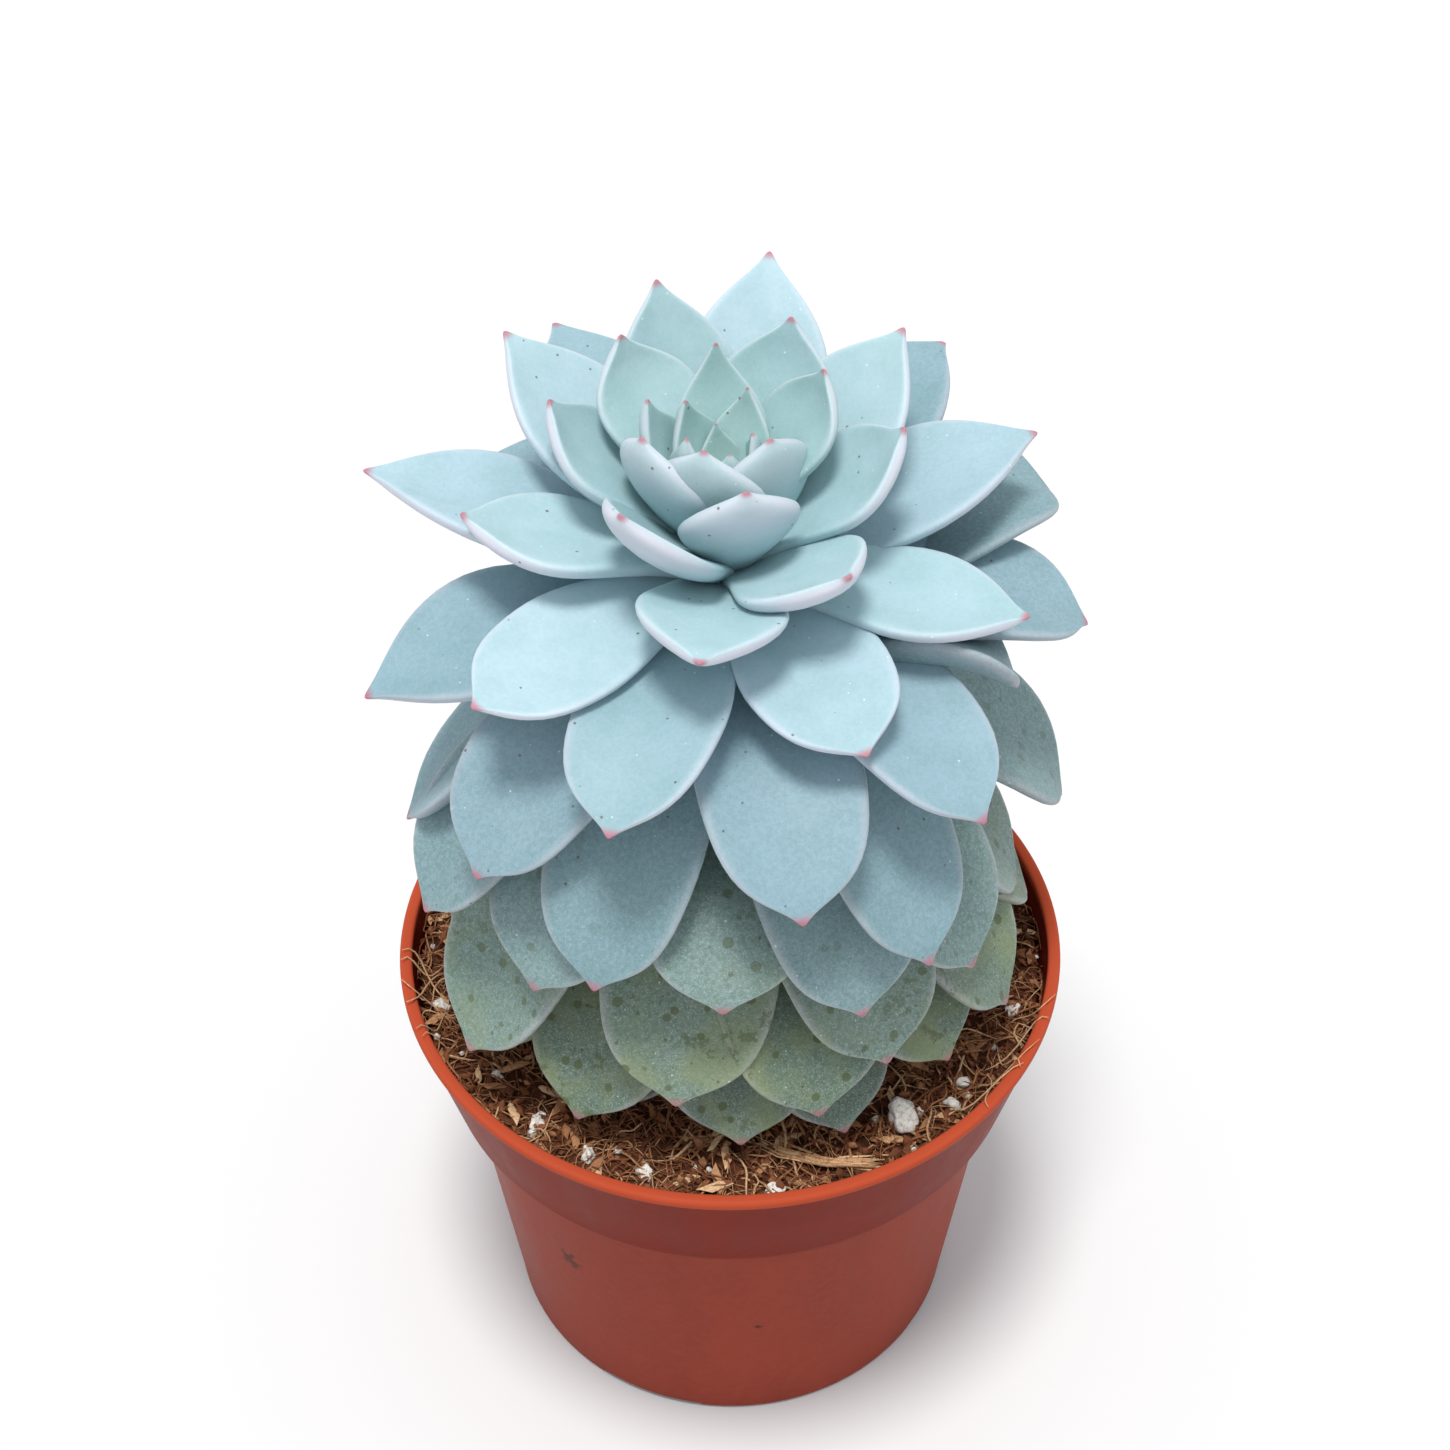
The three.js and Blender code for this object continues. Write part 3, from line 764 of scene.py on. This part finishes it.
def pot_finish():
    pot = Finish("terracotta plastic", 0.42, 0.02)
    streaks = pot.noise(STREAKS * MM, 4, 0.6, pot.stretched((1, 1, 0.35)))
    mottle = pot.noise(MOTTLE * MM, 3, 0.6)
    colour = pot.mix(pot.between(streaks, 0.3, 0.7), PLASTIC_DEEP, PLASTIC)
    colour = pot.mix(pot.between(mottle, 0.35, 0.7, 0.0, 0.25), colour, PLASTIC_DUST)
    scratch_distance, _ = pot.cells(SCRATCHES * MM, pot.stretched((0.5, 0.5, 9)))
    scratches = pot.between(scratch_distance, 0.0, 0.035, 0.35, 0.0)
    colour = pot.mix(scratches, colour, PLASTIC_DUST)
    for azimuth, height, size in STAINS:
        outside = inner_radius(height) + WALL
        near = pot.distance_to(around(azimuth, outside, height) * MM)
        ragged = pot.math("ADD", near, pot.between(mottle, 0.3, 0.7, 0.0, size * MM))
        spot = pot.between(ragged, 0.9 * size * MM, 1.5 * size * MM, 0.85, 0.0)
        colour = pot.mix(spot, colour, STAIN)
    # Painted shade: the band above the shoulder is darkened.
    band = pot.between(pot.height(), (SHOULDER_TOP[1] - 1) * MM, (SHOULDER_TOP[1] + 1) * MM)
    colour = pot.mix(band, colour, BAND_PAINTED_SHADE, "MULTIPLY")
    # Painted light: the lip is made brighter than the body.
    lip = pot.between(pot.height(), (BAND_TOP - 0.3) * MM, (BAND_TOP + 0.6) * MM)
    colour = pot.mix(lip, colour, PLASTIC_LIP_PAINTED_LIGHT)
    pot.paint(colour, pot.between(streaks, 0.3, 0.7, 0.34, 0.44))
    pot.raise_by(pot.math("ADD", streaks, pot.times(mottle, 0.25)), POT_RELIEF * MM, 0.35)
    return pot.material


# %% [markdown]
# ## Pot
# A moulded pot is a round wall with an even thickness: a foot with notches, a taper, a slanted
# shoulder, a band and a rounded lip. It could be turned with Spin, but growing one filled ring
# up the outside, over the lip and down the inside also closes the floor. Notches and drainage
# holes are then cut out with Boolean modifiers.

# %% Pot
# Millimetres; SHOULDER_LOW and SHOULDER_TOP are (radius, height) on the outside.
RIM_RADIUS = 60
WALL = 1.3
FLOOR_THICKNESS = 1.8
BASE_RADIUS = 42.8
SHOULDER_LOW = (50.3, 61.9)
SHOULDER_TOP = (54, 64.9)
LIP_DEPTH = 2.2
LIP_THICKNESS = 2
BAND_TOP = POT_HEIGHT - LIP_DEPTH
POT_SIDES = 180
DRAIN_HOLES = 6
DRAIN_RING = 27
DRAIN_RADIUS = 4
DRAIN_SIDES = 32
DRAIN_CUT = 8
POT_CREASE = 32
FOOT_NOTCHES = 4
NOTCH_FIRST = -22
NOTCH_ANGLE = 28
NOTCH_HEIGHT = 1.3
NOTCH_DEPTH = 8


def inner_radius(height):
    outer = ((0, BASE_RADIUS), SHOULDER_LOW[::-1], SHOULDER_TOP[::-1], (BAND_TOP, RIM_RADIUS - 0.4))
    return along_points(outer, height) - WALL


def arc(radius, height, size, start, end, steps=4):
    """Points of a rounded corner about (radius, height), from one angle to another."""
    angles = np.radians(np.linspace(start, end, steps))
    return [(radius + size * math.cos(a), height + size * math.sin(a)) for a in angles]


def pot_profile():
    """(radius, height) from the foot up the outside, over the lip and down to the inner floor."""
    low, top = SHOULDER_LOW, SHOULDER_TOP
    lip_out = RIM_RADIUS + 0.3
    profile = [(BASE_RADIUS - 1.0, 0)]
    profile += arc(BASE_RADIUS - 1.0, 1.2, 1.2, -70, 0)
    profile += [(BASE_RADIUS + 0.4, 3.4)]
    profile += [(low[0] - 0.1, low[1] - 0.8), (low[0] + 0.1, low[1] + 0.1)]
    profile += [(top[0] - 0.6, top[1] - 0.7), (top[0] - 0.1, top[1] - 0.2)]
    profile += [(top[0] + 0.1, top[1] + 0.6)]
    profile += [(RIM_RADIUS - 0.45, BAND_TOP - 0.1), (RIM_RADIUS - 0.2, BAND_TOP + 0.15)]
    profile += arc(lip_out - 0.5, BAND_TOP + 0.8, 0.5, -60, 0, 3)
    profile += arc(lip_out - 0.8, POT_HEIGHT - 0.8, 0.8, 0, 90, 5)
    profile += arc(RIM_RADIUS - LIP_THICKNESS + 0.6, POT_HEIGHT - 0.6, 0.6, 90, 180, 4)
    profile += [(inner_radius(BAND_TOP), BAND_TOP - 1)]
    profile += [(top[0] - WALL, top[1] + 0.8), (low[0] - WALL, low[1] + 0.8)]
    profile += [(inner_radius(FLOOR_THICKNESS + 1), FLOOR_THICKNESS + 1)]
    profile += [(inner_radius(0) - 1, FLOOR_THICKNESS)]
    return profile


def cut(piece, cutter):
    pick(piece)
    boolean = piece.modifiers.new("cut", "BOOLEAN")
    boolean.operation = "DIFFERENCE"
    boolean.solver = "EXACT"
    boolean.object = cutter
    bpy.ops.object.modifier_apply(modifier=boolean.name)
    bpy.data.objects.remove(cutter)


pot_material = pot_finish()


def add_pot():
    pot = grow("nursery_pot", POT_SIDES, [(z * MM, r * MM, r * MM) for r, z in pot_profile()])
    for i in range(DRAIN_HOLES):
        place = around(360 * i / DRAIN_HOLES, DRAIN_RING, 0)
        bpy.ops.mesh.primitive_cylinder_add(
            vertices=DRAIN_SIDES, radius=DRAIN_RADIUS * MM, depth=DRAIN_CUT * MM, location=place * MM)
        cut(pot, bpy.context.object)
    width = 2 * BASE_RADIUS * math.sin(math.radians(NOTCH_ANGLE / 2))
    for i in range(FOOT_NOTCHES):
        azimuth = NOTCH_FIRST + 360 * i / FOOT_NOTCHES
        place = around(azimuth, BASE_RADIUS, 0) * MM
        bpy.ops.mesh.primitive_cube_add(size=1, location=place, rotation=(0, 0, math.radians(azimuth)))
        cutter = bpy.context.object
        cutter.scale = (width * MM, 2 * NOTCH_DEPTH * MM, 2 * NOTCH_HEIGHT * MM)
        cut(pot, cutter)
    finish_piece(pot, pot_material, ["pot"], POT_CREASE)


add_pot()

# %% [markdown]
# ## Soil and fibre finishes
# Wet peat is nearly black brown, dry crumbs and coir run from rust to straw. Each fibre and crumb
# carries a random tone, and the finish turns that tone into a colour with fine grain on it.

# %% Soil and fibre finishes
PEAT_DARK = (0.030, 0.011, 0.006)
PEAT_WARM = (0.13, 0.040, 0.016)
RUST = (0.24, 0.085, 0.033)
TAN = (0.42, 0.21, 0.095)
STRAW = (0.72, 0.49, 0.28)


def soil_finish():
    soil = Finish("peat", 0.9, 0.25)
    lumps = soil.noise(2.2 * MM, 5, 0.7)
    colour = soil.ramp(lumps, (0.3, PEAT_DARK), (0.55, PEAT_WARM), (0.75, RUST))
    soil.paint(colour)
    soil.raise_by(soil.noise(0.8 * MM, 5, 0.7), 1.2 * MM, 0.8)
    return soil.material


def litter_finish():
    litter = Finish("coir", 0.8, 0.3)
    tone = litter.fact("tone")
    grain = litter.noise(0.5 * MM, 3, 0.6)
    shifted = litter.math("ADD", tone, litter.between(grain, 0.2, 0.8, -0.1, 0.1))
    stops = ((0.0, PEAT_DARK), (0.25, PEAT_WARM), (0.5, RUST), (0.75, TAN), (0.95, STRAW))
    litter.paint(litter.ramp(shifted, *stops))
    litter.raise_by(grain, 0.15 * MM, 0.5)
    return litter.material


soil_material = soil_finish()
litter_material = litter_finish()

# %% [markdown]
# ## Soil bed
# The bed fills the pot to a little below the lip, wavy and lumpy on top, with the stem's hole in
# the middle. It is grown like the pot, with close rings over the top so that its lumps can be
# real shape: each ring's points are then lifted by the same waves as the solid has, and by noise.

# %% Soil bed
GAP = 0.3
SOIL_LEVEL = 82.6
SOIL_BUMP = 0.9
SOIL_LUMP = 0.7
SOIL_RING_STEP = 0.8
STEM_HOLE = 7.3
STEM_HOLE_DEPTH = 18
SOIL_SIDES = 240
SOIL_EDGE_DROP = 0.8
SOIL_EDGE_CLIMB = 1.6
SOIL_FADE = 3


def soil_top(x, y):
    r = np.hypot(x, y)
    waves = np.sin(0.31 * x + 1.3) * np.cos(0.27 * y - 0.4)
    waves = waves + 0.6 * np.sin(0.63 * x - 0.51 * y + 2.1) + 0.4 * np.cos(0.95 * x + 0.8 * y)
    inside = 1 - (r / RIM_RADIUS) ** 12
    climb = SOIL_EDGE_CLIMB * (r / RIM_RADIUS) ** 4
    return SOIL_LEVEL + SOIL_BUMP * waves * inside / 2 + climb - SOIL_EDGE_DROP


def add_soil():
    edge = inner_radius(SOIL_LEVEL - SOIL_EDGE_DROP) - GAP
    rings = [
        (FLOOR_THICKNESS + GAP, inner_radius(FLOOR_THICKNESS + 1) - 1.5),
        (FLOOR_THICKNESS + 2, inner_radius(FLOOR_THICKNESS + 2) - GAP),
        (SHOULDER_LOW[1] + 0.6, inner_radius(SHOULDER_LOW[1]) - GAP),
        (SHOULDER_TOP[1] + 1.8, inner_radius(SHOULDER_TOP[1]) - GAP),
    ]
    for r in np.arange(edge, STEM_HOLE, -SOIL_RING_STEP):
        rings.append((SOIL_LEVEL, r))
    rings.append((SOIL_LEVEL, STEM_HOLE))
    rings.append((SOIL_LEVEL - STEM_HOLE_DEPTH, STEM_HOLE))
    soil = grow("soil_bed", SOIL_SIDES, [(z * MM, r * MM, r * MM) for z, r in rings])
    points = points_of(soil.data) / MM
    for point in points:
        if point[2] > SOIL_LEVEL - 0.1:
            r = math.hypot(point[0], point[1])
            lumps = noise.noise(Vector(point) * 0.45) + 0.6 * noise.noise(Vector(point) * 1.1)
            fade = min(1.0, (edge - r) / SOIL_FADE)
            point[2] = soil_top(point[0], point[1]) + SOIL_LUMP * lumps * fade
    soil.data.vertices.foreach_set("co", (points * MM).ravel())
    finish_piece(soil, soil_material, ["soil"])


add_soil()

# %% [markdown]
# ## Coir fibres, crumbs and flakes
# The surface is a tangle of coir fibres with peat crumbs and a few bark flakes among them. Hair
# would be quick, but it isn't kept as a mesh, so one fibre is grown as a thin tube of a few
# faces and laid hundreds of times along its own wandering line over the bed.

# %% Fibres
FIBRES = 2600
FIBRE_SIDES = 4
FIBRE_RINGS = 8
LITTER_INNER = 34
LITTER_OUTER = 57.4

# Strands over the lip: azimuth of the root and how far the strand sweeps round (degrees), then
# the share of a strand's length with its distance from the axis and its height there (mm).
RIM_STRANDS = (
    (-84, 9), (-80, -7), (-76, 10), (-72, -9), (-69, 5), (-88, 6), (66, -10), (61, 9), (57, -8),
    (52, 12), (70, 6), (47, 10), (120, 8), (171, -9), (-150, 8),
)
RIM_STATIONS = (0, 0.35, 0.6, 0.8, 1)
RIM_OUT = (52.5, 55.5, 57, 58.4, 60)
RIM_UP = (83.6, 85, 87.6, 90.1, 90.4)

# The bundle of chaff: how many straws, and the two ends that they lie between (mm).
STRAWS = 16
STRAW_FROM = (7.5, -43.5)
STRAW_TO = (24, -48)


def tube_points(unit_points, path, radius):
    """Lays a unit tube along a path of points, thinner at its ends."""
    t = np.clip(unit_points[:, 2], 0, 1)
    steps = np.linspace(0, 1, len(path))
    middle = np.stack([np.interp(t, steps, path[:, i]) for i in range(3)], axis=1)
    direction = np.gradient(path, axis=0)
    ahead = np.stack([np.interp(t, steps, direction[:, i]) for i in range(3)], axis=1)
    ahead /= np.linalg.norm(ahead, axis=1)[:, None]
    side = np.cross(ahead, (0, 0, 1))
    side /= np.maximum(np.linalg.norm(side, axis=1)[:, None], 1e-6)
    over = np.cross(side, ahead)
    thin = (radius * (1 - 0.65 * np.abs(2 * t - 1) ** 3))[:, None]
    return middle + (side * unit_points[:, :1] + over * unit_points[:, 1:2]) * thin


def fibre_path(seed, random):
    """A line that wanders over the bed, with its ends lower than its middle."""
    azimuth = random.uniform(0, 360)
    r = math.sqrt(random.uniform(LITTER_INNER**2, LITTER_OUTER**2))
    length = random.uniform(3, 7) if random.random() < 0.6 else random.uniform(7, 16)
    heading = random.uniform(0, 2 * math.pi)
    curl = random.uniform(-0.7, 0.7)
    steps = np.linspace(-0.5, 0.5, FIBRE_RINGS)
    turned = heading + curl * steps * 2 + 0.3 * np.sin(7 * steps + seed)
    stride = np.stack([np.cos(turned), np.sin(turned)], axis=1) * length / (FIBRE_RINGS - 1)
    flat = np.cumsum(stride, axis=0) - stride.sum(axis=0) / 2 + around(azimuth, r)[:2]
    away = np.hypot(flat[:, 0], flat[:, 1])
    flat *= np.minimum(1, LITTER_OUTER / away)[:, None]
    lift = random.uniform(0.0, 1.0) + random.uniform(0.1, 0.9) * (1 - (2 * steps) ** 2)
    wobble = 0.3 * np.sin(9 * steps + 2 * seed)
    height = soil_top(flat[:, 0], flat[:, 1]) + lift + wobble
    return np.column_stack([flat, height])


def rim_path(start, sweep, random):
    """A strand that climbs out of the bed and lies over the lip."""
    steps = np.linspace(0, 1, FIBRE_RINGS)
    r = np.interp(steps, RIM_STATIONS, RIM_OUT) + random.uniform(-0.3, 0.2)
    height = np.interp(steps, RIM_STATIONS, RIM_UP) + random.uniform(0, 0.3)
    angles = start + sweep * steps + 2 * np.sin(5 * steps + start)
    return np.array([around(a, far, up) for a, far, up in zip(angles, r, height)])


def straw_path(random):
    """A straw of the bundle of chaff that lies in front of the plant."""
    ends = np.array((STRAW_FROM, STRAW_TO)) + random.normal(0, 0.9, (2, 2))
    steps = np.linspace(-0.1 * random.random(), 1 + 0.1 * random.random(), FIBRE_RINGS)
    flat = ends[0] + np.outer(steps, ends[1] - ends[0])
    flat[:, 1] -= 1.2 * np.sin(math.pi * steps)
    height = soil_top(flat[:, 0], flat[:, 1]) + random.uniform(0.5, 1.6)
    return np.column_stack([flat, height])


def add_fibres():
    random = np.random.default_rng(11)
    unit = grow("fibre", FIBRE_SIDES, [(t, 1, 1) for t in np.linspace(0, 1, FIBRE_RINGS)])
    unit_points = points_of(unit.data)
    laid = []
    for i in range(FIBRES):
        radius = 0.07 + 0.2 * random.random() ** 2.5
        laid.append((fibre_path(i, random), radius, 0.3 + 0.6 * random.random()))
    for start, sweep in RIM_STRANDS:
        laid.append((rim_path(start, sweep, random), random.uniform(0.12, 0.24), 0.85))
    for i in range(STRAWS):
        laid.append((straw_path(random), random.uniform(0.15, 0.42), random.uniform(0.75, 1)))
    copies = []
    for i, (path, radius, tone) in enumerate(laid):
        points = tube_points(unit_points, path, radius) * MM
        copies.append(copy_with(unit, f"fibre_{i}", points, {"tone": tone}))
    bpy.data.objects.remove(unit)
    finish_piece(join("coir_fibres", copies), litter_material)


add_fibres()

# %% Crumbs and flakes
CRUMBS = 2400
FLAKES = 170
CRUMB_SHAPE = (1.0, 0.85, 0.6)
FLAKE_SHAPE = (2.6, 0.8, 0.25)
CRUMB_CREASE = 50
FULL_TURN = 6.28


def rough_grain(subdivisions, seed, strength):
    """A ball pushed in and out by noise, of radius about 1."""
    deselect_all()
    bpy.ops.mesh.primitive_ico_sphere_add(subdivisions=subdivisions, radius=1)
    grain = bpy.context.object
    points = points_of(grain.data)
    for point in points:
        point *= 1 + strength * noise.noise(Vector(point) * 1.3 + Vector((seed, 0, 0)))
    grain.data.vertices.foreach_set("co", points.ravel())
    return grain


def turn_matrix(random):
    return np.array(Matrix.Rotation(random.uniform(0, FULL_TURN), 3, Vector(random.normal(size=3))))


def flake_points(unit_points, random):
    size = random.uniform(0.5, 1.2)
    spin = np.array(Matrix.Rotation(random.uniform(0, FULL_TURN), 3, "Z"))
    return (unit_points * FLAKE_SHAPE * size) @ spin.T


def crumb_points(unit_points, random):
    size = 0.3 + 0.8 * random.random() ** 2.5
    return (unit_points * CRUMB_SHAPE * size) @ turn_matrix(random).T


def add_crumbs():
    random = np.random.default_rng(5)
    unit = rough_grain(1, 3, 0.9)
    unit_points = points_of(unit.data)
    copies = []
    for i in range(CRUMBS + FLAKES):
        flake = i >= CRUMBS
        shaped = flake_points(unit_points, random) if flake else crumb_points(unit_points, random)
        r = math.sqrt(random.uniform(LITTER_INNER**2, LITTER_OUTER**2))
        place = around(random.uniform(0, 360), r)
        place[2] = soil_top(place[0], place[1]) + random.uniform(0.2, 1.3)
        tone = random.uniform(0.6, 0.95) if flake else random.uniform(0.15, 0.65)
        copies.append(copy_with(unit, f"crumb_{i}", (shaped + place) * MM, {"tone": tone}))
    bpy.data.objects.remove(unit)
    finish_piece(join("soil_crumbs", copies), litter_material, angle=CRUMB_CREASE)


add_crumbs()

# %% [markdown]
# ## Perlite
# Perlite is volcanic glass blown up like popcorn: off-white, rough and full of pits. The twelve
# large grains stand where the solids are, and small ones are strewn among the fibres.

# %% Perlite
# Azimuth (degrees), distance from the axis and size (mm) of each large grain.
GRAINS = (
    (39, 47.5, 6.6), (-42, 50.5, 3.6), (-29, 51, 3.1), (-17, 50.6, 3.4), (8, 53.4, 3.2),
    (49, 51.8, 3.4), (55, 50.3, 3.2), (76, 52.6, 3.2), (-78, 53.6, 3.4), (118, 52.4, 4.4),
    (163, 51.6, 3.6), (-141, 52.2, 3.8),
)
GRAIN_SHAPE = (1, 0.8, 0.72)
SMALL_GRAINS = 46
PIT_BROWN = (0.42, 0.36, 0.29)
PERLITE_DULL = (0.80, 0.76, 0.70)
PERLITE_WHITE = (0.93, 0.91, 0.87)


def perlite_finish():
    grain = Finish("perlite", 0.85, 0.3)
    pits = grain.noise(0.7 * MM, 4, 0.7)
    grain.paint(grain.ramp(pits, (0.3, PIT_BROWN), (0.5, PERLITE_DULL), (0.7, PERLITE_WHITE)))
    grain.raise_by(pits, 0.5 * MM, 0.8)
    return grain.material


def add_large_grains(material):
    for i, (azimuth, r, size) in enumerate(GRAINS):
        unit = rough_grain(4, 10 * i, 0.5)
        turned = Matrix.Rotation(math.radians(3 * azimuth), 3, "Z") @ Matrix.Rotation(0.4 + r, 3, "X")
        place = around(azimuth, r)
        place[2] = soil_top(place[0], place[1]) + 0.1 * size
        points = (points_of(unit.data) * GRAIN_SHAPE * size / 2) @ np.array(turned).T + place
        grain = copy_with(unit, f"perlite_grain_{i + 1}", points * MM, {})
        bpy.data.objects.remove(unit)
        finish_piece(grain, material, [f"perlite_{i + 1}"])


def add_small_grains(material):
    random = np.random.default_rng(8)
    unit = rough_grain(2, 77, 0.6)
    unit_points = points_of(unit.data)
    copies = []
    for i in range(SMALL_GRAINS):
        size = random.uniform(0.35, 0.95)
        place = around(random.uniform(0, 360), random.uniform(44, 56.5))
        place[2] = soil_top(place[0], place[1]) + 0.45
        points = (unit_points * size) @ turn_matrix(random).T + place
        copies.append(copy_with(unit, f"small_{i}", points * MM, {}))
    bpy.data.objects.remove(unit)
    finish_piece(join("perlite_small", copies), material)


perlite_material = perlite_finish()
add_large_grains(perlite_material)
add_small_grains(perlite_material)
